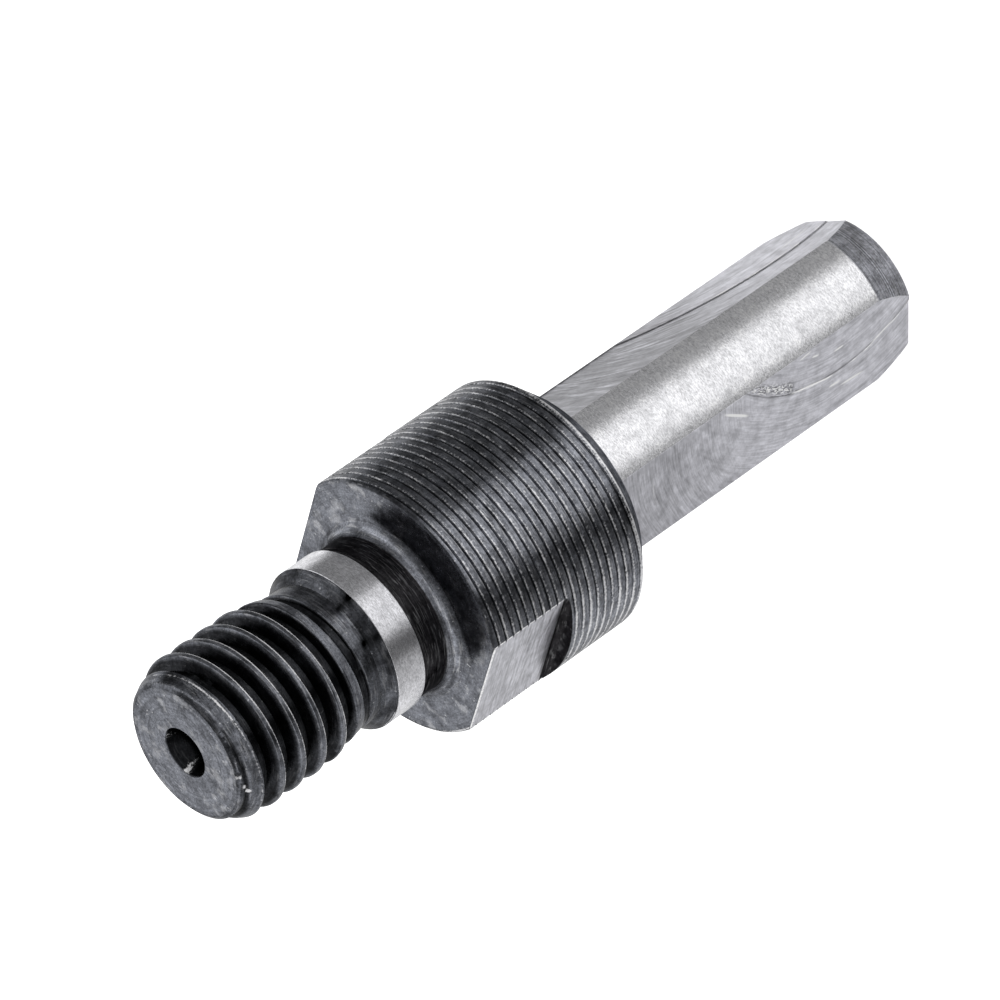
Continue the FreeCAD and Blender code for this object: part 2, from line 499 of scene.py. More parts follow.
def milled_steel(name, tint, fine, rough, contrast, darkest, lightest, edges):
    """Steel as the end of a milling cutter leaves it.

    Fine feed lines follow the cutter's sweep, and dull patches mottle them. On the shank's
    flats light and dark scratches lie among the lines, with painted shade towards the collar and a
    painted shadow beside each step, and painted highlights stand as bright lines along the steps.
    On a spanner flat, edges gives the height of its front edge and the distance of its
    sides from the middle, and the burrs stand along those.
    """
    material, tree = new_material(name)
    place = add(tree, "TexCoord").outputs["Object"]
    mark = {key: add(tree, "Attribute", attribute_name=key).outputs["Fac"]
            for key in ("feed", "arc", "arc_share", "aside", "turned", "wear", "streak")}
    grain = add(tree, "TexNoise", {"Vector": place, "Scale": per_mm(0.15), "Detail": 2.0,
                                   "Roughness": 0.6})
    if edges:
        in_millimetres = add(tree, "VectorMath", {0: place, "Scale": 1000.0}, operation="SCALE")
        split = add(tree, "SeparateXYZ", (in_millimetres,))
        mark["feed"], mark["aside"] = split.outputs[2], split.outputs[1]
        mark["wear"] = edge_burrs(tree, split, grain, edges)
    lines = []
    for across, along in (("feed", "aside"), ("arc", "turned")):
        stretched = add(tree, "CombineXYZ", (mark[across], mark[along]))
        slim = add(tree, "Mapping", {"Vector": stretched, "Scale": (1 / fine, 0.6, 1)})
        lines.append(add(tree, "TexNoise", {"Vector": slim, "Scale": 1.0, "Detail": 4.0,
                                            "Roughness": 0.7}, noise_dimensions="2D"))
    sweep = add(tree, "Mix", {"Factor": mark["arc_share"], 2: lines[0], 3: lines[1]},
                data_type="FLOAT")
    patch = add(tree, "TexNoise", {"Vector": place, "Scale": per_mm(0.8), "Detail": 7.0,
                                   "Roughness": 0.72})
    dull = add(tree, "MapRange", (patch, 0.36, 0.64, darkest, lightest))
    line_tone = add(tree, "MapRange", (sweep, 0.34, 0.66, 1 - contrast, 1 + contrast))
    scored = add(tree, "Math", (mark["streak"], 0.6, line_tone), operation="MULTIPLY_ADD")
    tone = add(tree, "Math", (dull, scored), operation="MULTIPLY")
    base = add(tree, "Mix", {"Factor": 1.0, 6: rgb(tint), 7: tone}, data_type="RGBA",
               blend_type="MULTIPLY", clamp_result=True)
    # Burrs and painted highlights turn white
    burr = add(tree, "MapRange", (mark["wear"], 0.15, 0.9), interpolation_type="SMOOTHSTEP")
    mixed = add(tree, "Mix", {"Factor": burr, 6: base.outputs[2], 7: (1, 1, 1, 1)},
                data_type="RGBA")
    line_bump = add(tree, "Bump", {"Height": scored, "Strength": 0.25, "Distance": FEED_DEPTH})
    bump = add(tree, "Bump", {"Height": grain, "Strength": 0.25, "Distance": GRAIN_DEPTH,
                              "Normal": line_bump})
    return metal(material, {"Base Color": mixed.outputs[2], "Roughness": rough, "Normal": bump})


def edge_burrs(tree, split, grain, edges):
    """A broken bright line, 0 to 1, along a spanner flat's front edge and its two sides."""
    front_edge, side_edge = edges
    front = add(tree, "MapRange", (split.outputs[2], front_edge - 0.26, front_edge - 0.05))
    aside = add(tree, "Math", (split.outputs[1],), operation="ABSOLUTE")
    side = add(tree, "MapRange", (aside, side_edge - 0.2, side_edge))
    near = add(tree, "Math", (front, side), operation="MAXIMUM")
    broken = add(tree, "Math", (grain, 5.0, -1.5), operation="MULTIPLY_ADD")
    return add(tree, "Math", (near, broken), operation="MULTIPLY", use_clamp=True)


def finish_of(name, colours, edges=None):
    """The material of that name, made the first time that a piece asks for it."""
    if name in bpy.data.materials:
        return bpy.data.materials[name]
    if name in MILLED_FINISHES:
        return milled_steel(name, colours.milled, *MILLED_FINISHES[name], edges)
    if name in GROUND_FINISHES:
        key, bite = GROUND_FINISHES[name]
        return ground_steel(name, getattr(colours, key), bite)
    key, *numbers = TURNED_FINISHES[name]
    return black_oxide_steel(name, getattr(colours, key), colours.bare, *numbers)


# Rows across one flank of the spindle thread, as shares of the flank from root to crest
FLANK_ROWS = np.array([0, 0.12, 0.3, 0.48, 0.64, 0.78, 0.88, 0.95, 1, 1.06, 1.13, 1.22])

# The threaded end stays this far inside the band's edge, in millimetres
BAND_INSET = 0.01

# The groove fades in over this share of a turn. Its floor starts this share of the way from the
# root to a place that is this far outside the relief, in millimetres
FADE_IN, FADE_SHARE, FADE_OUTSIDE = 0.2, 0.9, 0.05

# How unevenly the crests are cut, in millimetres
CREST_RIPPLE = 0.014

# Burrs on the end face's edge: place in degrees and distance under the face, then their half
# width in degrees, their half height and how far they stand out, in millimetres
END_BURRS = ((25.8, 0.1), (15.7, 0.3), (10.8, 0.5))
BURR_WIDTH, BURR_HEIGHT, BURR_OUT = 1.8, 0.1, 0.05

# Painted light and shade spots in the relief: place and half width in degrees, and how much
# blacker they are. The lighter one at 79 degrees is a painted highlight, the others painted shade
RELIEF_LIGHT_AND_SHADE = ((79, 6, -0.6), (58, 4, 0.4), (89, 3, 0.5))

# Painted shade on the lead chamfer, in the notch where the groove runs out: place and half width
# in degrees, distance under the end face and half height in millimetres, and strength
LEAD_NOTCH_SHADE = (124, 8, 0.5, 0.38, 0.7)

# Two painted glints, bright patches on the centre hole's cone: strength, place and half width in
# degrees, and the share of them that the cone's first two rows show
HOLE_GLINTS = ((1.1, 283, 10), (0.6, 182, 12))
GLINT_ROWS = np.array([[0.85], [0.25]])

# First row of the cone: how far it is inside the centre hole's mouth, and how deep, in millimetres
CONE_INSIDE, CONE_DEEP = 0.05, 0.087


def spindle_thread(n, band, turns):
    """Height and radius of the threaded end, its blank's radius and the way past a crest's edge.

    The radius is the smaller of two profiles. One is the turned blank: a cone from the band
    to the relief, the relief, a taper and the crests with their lead chamfer. The other is
    the thread: root radius, plus the distance from the groove's middle less half the root
    width, divided by the tangent of 30 degrees. The groove climbs one pitch per turn and
    fades in over its first fifth of a turn.
    """
    low = band.high - THREAD_REACH
    half_root = n.root_width / 2
    half_mouth = half_root + (n.crest - n.root) * FLANK
    side = half_root + (half_mouth - half_root) * FLANK_ROWS
    offsets = np.concatenate([-side[::-1], [-half_root / 2, half_root / 2], side, [n.pitch / 2]])
    at_zero = n.start - n.pitch * n.phase / (2 * math.pi)
    corners = [band.high, n.relief_low, n.relief_high, n.full, TOP - n.lead, TOP - n.edge]
    z = snap_rows(helical_rows(offsets, n.pitch, at_zero, low, TOP, turns), corners)
    face = n.crest - n.lead_drop
    blank = np.interp(z, [low, *corners, TOP],
                      [band.radius - THREAD_REACH, band.radius - BAND_INSET, n.relief, n.relief,
                       n.crest, n.crest, face + n.edge_drop, face])
    turned_away = turns[None, :] - n.phase / (2 * math.pi)
    number = np.maximum(np.round((z - n.start) / n.pitch - turned_away), np.ceil(-turned_away))
    along = turned_away + number
    offset = z - n.start - n.pitch * along
    fading = 1 - smooth_step(along, 0, FADE_IN)
    floor = n.root + FADE_SHARE * fading * (n.relief - n.root + FADE_OUTSIDE)
    groove = floor + np.maximum(np.abs(offset) - half_root, 0) / FLANK
    ripple = CREST_RIPPLE * np.abs(noise_round(turns[None, :] + z / 7, 3, [23, 37, 61, 97]))
    radius = soft_min(groove, blank, n.crest_round) - ripple * smooth_step(z, n.full, n.full + 0.4)
    return z, np.minimum(radius, blank), blank, offset - half_mouth


def thread_finish(n, turns, z, radius, blank, past_edge):
    """Radius with the end face's burrs, how far the steel is worn bare and how deep the black is.

    Each mark is a bell round its place. Wear takes the largest of the crests' edges, with their
    painted highlight, the end face's edge and the burrs. The black takes the largest of the groove's
    depth, partly painted shade, the relief's painted light and shade, and the painted shade in the
    notch on the lead chamfer.
    """
    around = turns[None, :] * 360
    from_top = z - TOP
    patchy = 0.75 + 0.5 * noise_round(turns[None, :] + z / 11, 8, [5, 9, 14, 22])
    edge = 1.2 * bell(past_edge, 0.02, 0.055) * (blank > n.crest - 0.5)
    edge = edge * (1 - 0.4 * smooth_step(from_top, -2.0, -1.3))
    rim = 0.4 * bell(from_top, -n.edge, 0.07) * (blank - radius < 0.03)
    # Painted highlight: worn crests brightest near 90 degrees, where the lighting leaves it too weak
    crest_highlight = 0.85 + 0.8 * bell(around, 90, 28)
    wear = np.where(z > n.full - 1.2, np.maximum(edge * crest_highlight, rim) * patchy, 0)
    for place, drop in END_BURRS:
        burr = bell(around, place, BURR_WIDTH) * bell(from_top, -drop, BURR_HEIGHT)
        radius = radius + BURR_OUT * burr
        wear = np.maximum(wear, 1.7 * burr)
    # Grooves blacker the deeper they are: partly oxide in the hollows, partly painted shade
    shallow = np.where(blank > n.crest - 0.02, 1, 0.4)
    deep = smooth_step((blank - radius) / shallow, 0.05, 0.24)
    # Painted shade under the band: the cone and the relief are blacker, in uneven patches
    relief_light_and_shade = 0.6 + 0.6 * noise_round(turns[None, :] + z / 9, 12, [3, 5, 9, 14])
    for place, width, size in RELIEF_LIGHT_AND_SHADE:
        relief_light_and_shade = relief_light_and_shade + size * bell(around, place, width)
    above_relief = smooth_step(z, n.relief_low - 0.1, n.relief_high + 0.6)
    deep = np.maximum(deep, relief_light_and_shade * (1 - above_relief))
    # Painted shade in the notch on the lead chamfer
    place, width, drop, height, strength = LEAD_NOTCH_SHADE
    notch_shade = strength * bell(around, place, width, 4) * bell(from_top, -drop, height, 4)
    return radius, wear, np.maximum(deep, notch_shade)


def end_face(n):
    """Radii and heights from the end face's edge to the bottom of the centre hole.

    The hole is a 60 degree cone over a drilled pilot, whose point is 118 degrees.
    """
    cone_depth = (n.mouth - n.pilot) / FLANK
    face_r = np.linspace(n.crest - n.lead_drop, n.mouth, 24)[1:]
    hole_r = [n.mouth - CONE_INSIDE, (n.mouth + n.pilot) / 2, n.pilot, n.pilot, 0]
    hole_depth = [CONE_DEEP, cone_depth / 2, cone_depth, n.pilot_depth,
                  n.pilot_depth + n.pilot / DRILL_POINT]
    radius = np.concatenate([face_r, hole_r])
    depth = np.concatenate([np.zeros(len(face_r)), hole_depth])
    return radius, TOP - depth, len(hole_r)


class MakeThreadedEnd(bpy.types.Operator):
    """Make the spindle thread, its relief and the end face with its centre hole"""
    bl_idname = "adapter.make_threaded_end"
    bl_label = "Threaded End"

    def execute(self, context):
        settings = context.scene.adapter
        n = in_mm(settings.thread)
        turns = np.linspace(0, 1, THREAD_COLUMNS + 1)
        z, radius, blank, past_edge = spindle_thread(n, in_mm(settings.band), turns)
        radius, wear, deep = thread_finish(n, turns, z, radius, blank, past_edge)
        face_r, face_z, hole = end_face(n)
        foot = (np.array([0.0]), np.array([z.min()]))
        marks = {"wear": (0, wear, 0), "turned": (0, z, 0), "deep": (0, deep, -0.3)}
        x, y, z, marks = turned_skin(turns, z, radius, foot, (face_r, face_z), marks)
        marks["turned"][-len(face_r):] = (TOP + FACE_LINES - face_r)[:, None]
        # Painted shade: the centre hole is black inside, and its cone carries two painted glints
        marks["deep"][-hole:] = 1.1
        glints = sum(size * bell(turns * 360, place, width) for size, place, width in HOLE_GLINTS)
        marks["wear"][-hole:-hole + 2] = glints * GLINT_ROWS
        materials = [finish_of("black_oxide_steel", settings.colours)]
        piece = grid_object("threaded_end", x, y, z, marks, materials, lambda h: 0)
        finish_piece(piece, SHARP_TURNED)
        return {"FINISHED"}


class MakePilotBand(bpy.types.Operator):
    """Make the neck with its fillet and the ground band"""
    bl_idname = "adapter.make_pilot_band"
    bl_label = "Pilot Band"

    def execute(self, context):
        settings = context.scene.adapter
        n = in_mm(settings.band)
        collar = in_mm(settings.collar)
        bend = np.linspace(0, np.pi / 2, 15)
        fillet_r = n.neck + n.fillet * (1 - np.sin(bend))
        fillet_z = collar.high + n.fillet * (1 - np.cos(bend))
        neck_z = np.linspace(collar.high + n.fillet, n.low, 9)[1:]
        band_z = np.linspace(n.low + n.edge, n.high - n.edge, 14)
        foot_z = collar.high - BAND_REACH
        broken = n.radius - n.edge
        radius = np.concatenate([[0, n.neck + n.fillet], fillet_r, np.full(len(neck_z), n.neck),
                                 [broken], np.full(len(band_z), n.radius), [broken, 0]])
        height = np.concatenate([[foot_z, foot_z], fillet_z, neck_z, [n.low], band_z,
                                 [n.high, n.high]])
        turns = np.linspace(0, 1, BAND_COLUMNS + 1)
        angle = np.where(turns > 1 - 1e-9, 0, 2 * np.pi * turns)
        x = radius[:, None] * np.cos(angle)
        y = radius[:, None] * np.sin(angle)
        z = height[:, None] * np.ones_like(angle)
        # Painted highlight: the fillet is lighter in patches, most of all where it meets the collar
        patchy = 0.55 + 0.6 * noise_round(turns, 31, [1, 2, 3, 5, 9])
        rub = bell(height, collar.high + n.fillet * 0.35, 0.3)
        marks = {"turned": path_length(radius, height)[:, None], "wear": 0 * height[:, None],
                 "deep": -1.3 * rub[:, None] * patchy[None, :]}
        neck_low = collar.high + n.fillet * 0.8
        pick = lambda h: np.where(h > n.low + 0.02, 2, np.where(h < neck_low, 0, 1))
        materials = [finish_of(name, settings.colours) for name in
                     ("black_oxide_steel", "brown_black_oxide_steel", "ground_band_steel")]
        piece = grid_object("pilot_band", x, y, z, marks, materials, pick)
        finish_piece(piece, SHARP_TURNED)
        return {"FINISHED"}


# How much of the fine thread's edges is rubbed bare, and how deep the black lies, by angle.
# Both also carry painted light and shade: the collar's light and dark stretches, which the
# lighting alone leaves too weak.
COLLAR_RUBBED_AND_LIT = ((0, 1.2), (20, 1.1), (45, 0.75), (70, 0.9), (92, 0.6), (125, 0.65), (145, 1.0),
                 (180, 1.0), (270, 0.7), (360, 1.2))
COLLAR_BLACK_AND_SHADE = ((0, -0.6), (18, -0.35), (30, 0.0), (40, 0.1), (56, -0.25), (70, -0.5), (84, -0.35),
                (93, 0.2), (122, 0.3), (142, 0.0), (180, 0.0), (270, 0.1), (330, -0.3), (360, -0.6))

# How unevenly the fine thread is cut, and width of the land beside its groove, in millimetres
FINE_RIPPLE = 0.02
FINE_LAND = 0.05

# Rear face of the collar: radii of its rows
REAR_ROWS = np.array([0.0, 4.0, 6.0])


def collar_skin(n, turns):
    """Height and radius of the collar before its flats are milled, its wear and its black.

    The blank is a cylinder with a chamfer at its rear and a round at its front. The fine
    thread takes away depth x (1 - distance from the groove's middle / half its width).
    The wear and the black also carry painted light and shade by angle, and the grooves' black is
    partly painted shade.
    """
    half = n.groove / 2
    land = half + FINE_LAND
    offsets = np.array([-half, -half / 2, 0, half / 2, half, land, n.pitch / 2, n.pitch - land])
    at_zero = n.groove_height - n.pitch * n.groove_turn / (2 * math.pi)
    rear_high = n.low + n.chamfer
    front_low = n.high - n.front
    z = helical_rows(offsets, n.pitch, at_zero, n.low, n.high, turns)
    z = snap_rows(z, [rear_high, front_low, front_low + n.front * 0.6])
    rear = n.radius - n.chamfer + (z - n.low)
    over = np.clip((z - front_low) / n.front, 0, 1)
    front = n.radius - n.front * (1 - np.sqrt(1 - over ** 2))
    blank = np.minimum(np.minimum(rear, n.radius), front)
    climbed = (z - at_zero) / n.pitch - turns[None, :]
    offset = (climbed - np.round(climbed)) * n.pitch
    ripple = FINE_RIPPLE * noise_round(turns[None, :] + z / 13, 11, [17, 41, 67])
    cut = (n.depth + ripple) * np.clip(1 - np.abs(offset) / half, 0, 1)
    radius = np.minimum(blank, n.radius - cut)
    # Painted light and shade by angle, laid over the rubbed edges and the black
    rubbed, black = [np.interp(turns * 360, *np.transpose(table))
                     for table in (COLLAR_RUBBED_AND_LIT, COLLAR_BLACK_AND_SHADE)]
    patchy = 0.75 + 0.5 * noise_round(turns[None, :] + z / 5, 21, [4, 7, 12, 19, 31])
    wear = 1.15 * patchy * bell(offset, -half - 0.015, 0.05) * (z > rear_high) * rubbed
    corner = 0.95 + 0.6 * noise_round(turns[None, :], 5, [31, 53, 88, 120])
    wear = np.maximum(wear, bell(z, rear_high, 0.09) * corner)
    # Grooves blacker, partly oxide in the hollows and partly painted shade
    return z, radius, wear, 0.6 * smooth_step(blank - radius, 0.02, 0.1) + black


def flat_cutter(n, side):
    """The cutter's shape on one side: a floor, a quarter round of the corner's radius, a wall."""
    bend = np.linspace(np.pi, 1.5 * np.pi, 7)
    far = n.radius * 1.6
    up = n.high + 1
    outline_x = np.concatenate([[n.flat], n.flat + n.corner * (1 + np.cos(bend)), [far, far]])
    outline_z = np.concatenate([[up], n.flat_low + n.corner * (1 + np.sin(bend)), [n.flat_low, up]])
    count = len(outline_x)
    points = []
    for y in (-far, far):
        points += [(side * a / 1000, y / 1000, b / 1000) for a, b in zip(outline_x, outline_z)]
    faces = [list(range(count)), list(range(2 * count - 1, count - 1, -1))]
    for i in range(count):
        j = (i + 1) % count
        faces.append([i, i + count, j + count, j])
    mesh = bpy.data.meshes.new("flat_cutter")
    mesh.from_pydata(points, [], faces)
    bm = bmesh.new()
    bm.from_mesh(mesh)
    bmesh.ops.recalc_face_normals(bm, faces=bm.faces)
    for face in bm.faces:
        face.material_index = 1 if abs(face.normal.x) > 0.999 else 2
    bm.to_mesh(mesh)
    bm.free()
    cutter = bpy.data.objects.new("flat_cutter", mesh)
    bpy.context.scene.collection.objects.link(cutter)
    return cutter


def cut_away(piece, cutter):
    """Takes the cutter's shape out of the piece and removes the cutter."""
    step = piece.modifiers.new("cut", "BOOLEAN")
    step.operation = "DIFFERENCE"
    step.solver = "EXACT"
    step.object = cutter
    graph = bpy.context.evaluated_depsgraph_get()
    mesh = bpy.data.meshes.new_from_object(piece.evaluated_get(graph))
    piece.modifiers.clear()
    old = piece.data
    mesh.name = old.name
    piece.data = mesh
    bpy.data.meshes.remove(old)
    bpy.data.objects.remove(cutter)


class MakeCollar(bpy.types.Operator):
    """Make the collar with its fine thread and its two spanner flats"""
    bl_idname = "adapter.make_collar"
    bl_label = "Collar"

    def execute(self, context):
        settings = context.scene.adapter
        n = in_mm(settings.collar)
        band = in_mm(settings.band)
        turns = np.linspace(0, 1, COLLAR_COLUMNS + 1)
        z, radius, wear, deep = collar_skin(n, turns)
        foot = (REAR_ROWS, np.full(len(REAR_ROWS), n.low))
        head_r = np.linspace(n.radius - n.front, band.neck + band.fillet, 22)[1:]
        head_r = np.concatenate([head_r, [0.0]])
        head = (head_r, np.full(len(head_r), n.high))
        marks = {"wear": (0, wear, 0), "turned": (0, z, 0), "deep": (0, deep, -0.3)}
        x, y, z, marks = turned_skin(turns, z, radius, foot, head, marks)
        marks["turned"][-len(head_r):] = (n.high + FACE_LINES - head_r)[:, None]
        marks["turned"][:len(REAR_ROWS)] = REAR_ROWS[:, None]
        edges = (n.high, math.sqrt(n.radius ** 2 - n.flat ** 2))
        materials = [finish_of(name, settings.colours, edges) for name in
                     ("black_oxide_steel", "milled_spanner_steel", "brown_black_oxide_steel",
                      "rough_black_oxide_steel")]
        pick = lambda h: np.where(h < n.low + n.chamfer - 0.02, 3, 0)
        piece = grid_object("collar", x, y, z, marks, materials, pick)
        for side in (1, -1):
            cut_away(piece, flat_cutter(n, side))
        finish_piece(piece, SHARP_COLLAR)
        return {"FINISHED"}


# Each shank flat: where its step bows, that is its farthest height and place across and its
# radius; how strong its scratches are, how much the painted shade adds to them, the painted
# shade towards the collar and the heights between which that comes in; the sweep's lean from the
# axis in degrees at some heights; and its strongest marks, each a height, place across, half
# length, lean, half width and strength. The first flat's first mark, a bright bar, is a painted
# highlight.
SHANK_FLATS = (
    ((5.6, -0.17, 11.3), (0.3, 0, 0.4, 12, 20),
     ((24, 86), (21.4, 80), (18.7, 62), (15.5, 42), (11, 28), (8, 15), (5.6, 0), (0, -18)),
     ((14.0, 1.65, 1.1, 33, 0.09, 1.2), (8.0, 0.12, 1.7, 13, 0.09, 1.1), (7.7, 2.0, 0.3, 15, 0.07, 1.0),
      (2.2, 0.45, 1.1, -17, 0.08, 1.0), (6.1, -0.95, 0.5, 4, 0.08, 1.0), (4.7, -1.4, 1.0, 4, 0.08, 0.9),
      (5.8, 1.4, 0.4, 0, 0.07, 1.0), (8.5, 2.5, 0.5, -8, 0.07, 0.9), (20.6, 0.4, 1.4, 86, 0.06, 0.5))),
    ((4.6, -0.80, 16.0), (0.4, 0.5, 0.8, 5, 16),
     ((24, 90), (20.6, 88), (17.4, 72), (14.3, 46), (11, 38), (8.8, 20), (6.4, 4), (0, -8)),
     ((8.4, -0.2, 1.6, 15, 0.07, 0.7), (4.9, -0.62, 2.0, 0, 0.07, 0.7), (2.2, 0.45, 1.5, -8, 0.08, 0.7),
      (11.8, 0.15, 1.0, 40, 0.12, -0.9), (13.6, -1.7, 1.3, 44, 0.1, -0.8),
      (18.9, -0.2, 0.7, 84, 0.08, -0.8))),
    ((5.1, -0.4, 14.0), (0.4, 0.5, 0.8, 5, 16),
     ((24, 88), (20, 80), (17, 64), (14, 44), (11, 32), (8, 16), (5.1, 0), (0, -14)),
     ((7.0, 0.1, 1.6, 10, 0.07, 0.8), (13.0, -0.6, 1.1, 40, 0.1, -0.8))),
)

# Torn crumbs beside the first flat's step: distance past the step and half width, then the
# heights between which they come in and go out
CRUMB_ASIDE, CRUMB_WIDTH = 0.4, 0.36
CRUMBS_IN, CRUMBS_OUT = (9.2, 9.9), (12.7, 13.3)

# Half the width in millimetres over which a cutter's step drops, and the share of half a flat over
# which it runs out at the flat's edge
STEP_WIDTH = 0.04
STEP_RUNOUT = 0.04

# Swell of the shank's lead past a cone, four times its height in the middle, in millimetres
LEAD_SWELL = 0.12

# Scratches on one flat
SCRATCH_COUNT = 240

# Cells across a flat and a round strip, rows up the lead and up the rest of the shank, and
# shares of the end face's radius at which its rows lie
FLAT_CELLS, STRIP_CELLS = 84, 14
LEAD_ROWS, SHANK_ROWS = 24, 226
END_ROWS = np.array([0.0, 0.4, 0.8])


def from_line(z, w, z0, w0, lean):
    """Distances along and across a line that starts at z0, w0 and leans from the axis."""
    along = (z - z0) * math.cos(lean) + (w - w0) * math.sin(lean)
    return along, (w - w0) * math.cos(lean) - (z - z0) * math.sin(lean)


def milling_marks(z, w, seed, places, leans):
    """Light and dark scratches that follow the cutter's sweep over a flat, from -1 to 1.

    A scratch lies at the distance across - bend x along squared / 2 from its own curve. It
    counts exp(-(distance / width) squared) times exp(-(along / length) to the power 4).
    leans gives the sweep's angle from the axis at each height in places.
    """
    rng = np.random.default_rng(seed)
    leans = np.radians(leans)
    total = np.zeros(np.broadcast(z, w).shape)
    for _ in range(SCRATCH_COUNT):
        z0, w0 = rng.uniform(-0.5, 24.5), rng.uniform(-3, 3)
        lean = np.interp(z0, places, leans) + rng.normal(0, 0.06)
        change = np.interp(z0 + 0.5, places, leans) - np.interp(z0 - 0.5, places, leans)
        along, across = from_line(z, w, z0, w0, lean)
        distance = across - change * math.cos(lean) * along ** 2 / 2
        size = rng.uniform(0.25, 0.9) * rng.choice([-1, 1])
        thin, long = rng.uniform(0.05, 0.1), rng.uniform(0.3, 1.8)
        total += size * bell(distance, 0, thin) * bell(along, 0, long, 4)
    return np.clip(total, -1, 1)


def short_marks(z, w, lines):
    """Bright or dark marks at given places: each a bell across its line and a flat one along it."""
    total = np.zeros(np.broadcast(z, w).shape)
    for z0, w0, half, lean, thin, size in lines:
        along, across = from_line(z, w, z0, w0, math.radians(lean))
        total += size * bell(across, 0, thin) * bell(along, 0, half, 4)
    return total


def flat_finish(k, z, w, past, share):
    """How bright the burrs are, 0 to 1, and how light or dark a flat is, -1 to 1.

    past is the distance beyond the cutter's step. The bright share takes the step's painted
    highlight, the crumbs' bright grains, the flat's two long edges and the bright marks, whichever
    is strongest. The tone adds the scratches, the painted shade towards the collar, the crumbs'
    dark grains, the dark marks and the step's painted shadow.
    """
    _, (strength, growth, shade_towards_collar, *rise), sweep, marks = SHANK_FLATS[k]
    torn = k == 0
    # Painted shade: the flats darken towards the collar, where the lighting alone leaves them too light
    dull = shade_towards_collar * smooth_step(z, *rise)
    rough = np.random.default_rng(60 + k).random(w.shape)
    crumbs = torn * bell(-past, CRUMB_ASIDE, CRUMB_WIDTH) * smooth_step(z, *CRUMBS_IN)
    crumbs = crumbs * (1 - smooth_step(z, *CRUMBS_OUT))
    places, leans = np.array(sweep)[::-1].T
    tone = (strength + growth * dull) * milling_marks(z, w, 40 + k, places, leans)
    tone = tone - 1.6 * crumbs * (rough < 0.45) - dull
    # Below the crumbs the step's lip lies on its other side
    past = np.where(torn & (z < 9.4), -1, 1) * past
    # Painted shadow on one side of the step, and a painted highlight along its edge on the other
    shadow = bell(past, 0.08, 0.06)
    burr = bell(past, -0.07, 0.055) * (0.65 + 1.1 * noise_round(z / 9, 80 + k, [3, 5, 8]))
    burr = burr * (1 - smooth_step(z, 9, 9.4))
    # The long edges are bright over 0.05 mm of a flat that is 2.7 mm wide from its middle
    rim = 0.55 * bell(1 - np.abs(share), 0, 0.05 / 2.7)
    rim = rim * (0.6 + 0.6 * noise_round(z / 24, 90 + k, [11, 19, 34]))
    given = short_marks(z, w, marks)
    wear = np.maximum(np.maximum(burr, 1.1 * crumbs * (rough > 0.7)), np.maximum(rim, given))
    return np.clip(wear, 0, 1), np.clip(tone + np.minimum(given, 0) - 1.3 * shadow, -1, 1)


def shank_skin(n, high):
    """Points of the shank: a bar with three milled flats and a shallow lead at its end.

    At each height the section is an arc of the bar's radius, cut by three chords. A chord's
    half width is the root of radius squared less distance squared. The cutter's step lowers
    a chord where it lies past an arc that bows along the flat.
    """
    z = np.concatenate([np.linspace(0, n.lead, LEAD_ROWS),
                        np.linspace(n.lead, high, SHANK_ROWS)[1:]])[:, None]
    inside = np.clip(z / n.lead, 0, 1)
    bar = n.radius - n.drop * (1 - inside) + LEAD_SWELL * inside * (1 - inside)
    half = np.sqrt(bar ** 2 - n.flat ** 2)
    lowered = n.flat - n.step
    half_lowered = np.sqrt(bar ** 2 - lowered ** 2)
    share = np.linspace(-1, 1, FLAT_CELLS + 1)[None, :]
    along_strip = np.linspace(0, 1, STRIP_CELLS + 2)[None, 1:-1]
    xs, ys, kinds = [], [], []
    marks = {key: [] for key in ("feed", "arc", "arc_share", "aside", "wear", "streak")}
    for k, ((along, aside, bow), *_) in enumerate(SHANK_FLATS):
        middle = n.turn + 2 * np.pi * k / 3
        w = np.where(share < 0, half_lowered, half) * share
        past = aside + bow - np.sqrt(np.maximum(bow ** 2 - (z - along) ** 2, 0)) - w
        dropped = smooth_step(past, -STEP_WIDTH, STEP_WIDTH) * smooth_step(1 - share, 0, STEP_RUNOUT)
        d = n.flat - n.step * dropped
        xs.append(d * np.cos(middle) - w * np.sin(middle))
        ys.append(d * np.sin(middle) + w * np.cos(middle))
        wear, streak = flat_finish(k, z, w, past, share)
        values = {"feed": z - 0.28 * (w - 0.2 * w ** 2), "arc": np.hypot(z - along, w - aside - bow),
                  "arc_share": 1 - smooth_step(z + 0.5 * w, 11.5, 16), "aside": w,
                  "wear": wear, "streak": streak}
        start = middle + np.arctan2(half, n.flat)
        end = middle + 2 * np.pi / 3 - np.arctan2(half_lowered, lowered)
        angle = start + (end - start) * along_strip
        xs.append(bar * np.cos(angle))
        ys.append(bar * np.sin(angle))
        for key in marks:
            marks[key] += [values[key], np.zeros_like(angle)]
        kinds += [np.ones(FLAT_CELLS), np.zeros(STRIP_CELLS + 1)]
    close = lambda parts: np.hstack([*parts, parts[0][:, :1]])
    x, y = close(xs), close(ys)
    marks = {key: close(parts) for key, parts in marks.items()}
    return x, y, np.broadcast_to(z, x.shape), marks, np.concatenate(kinds)


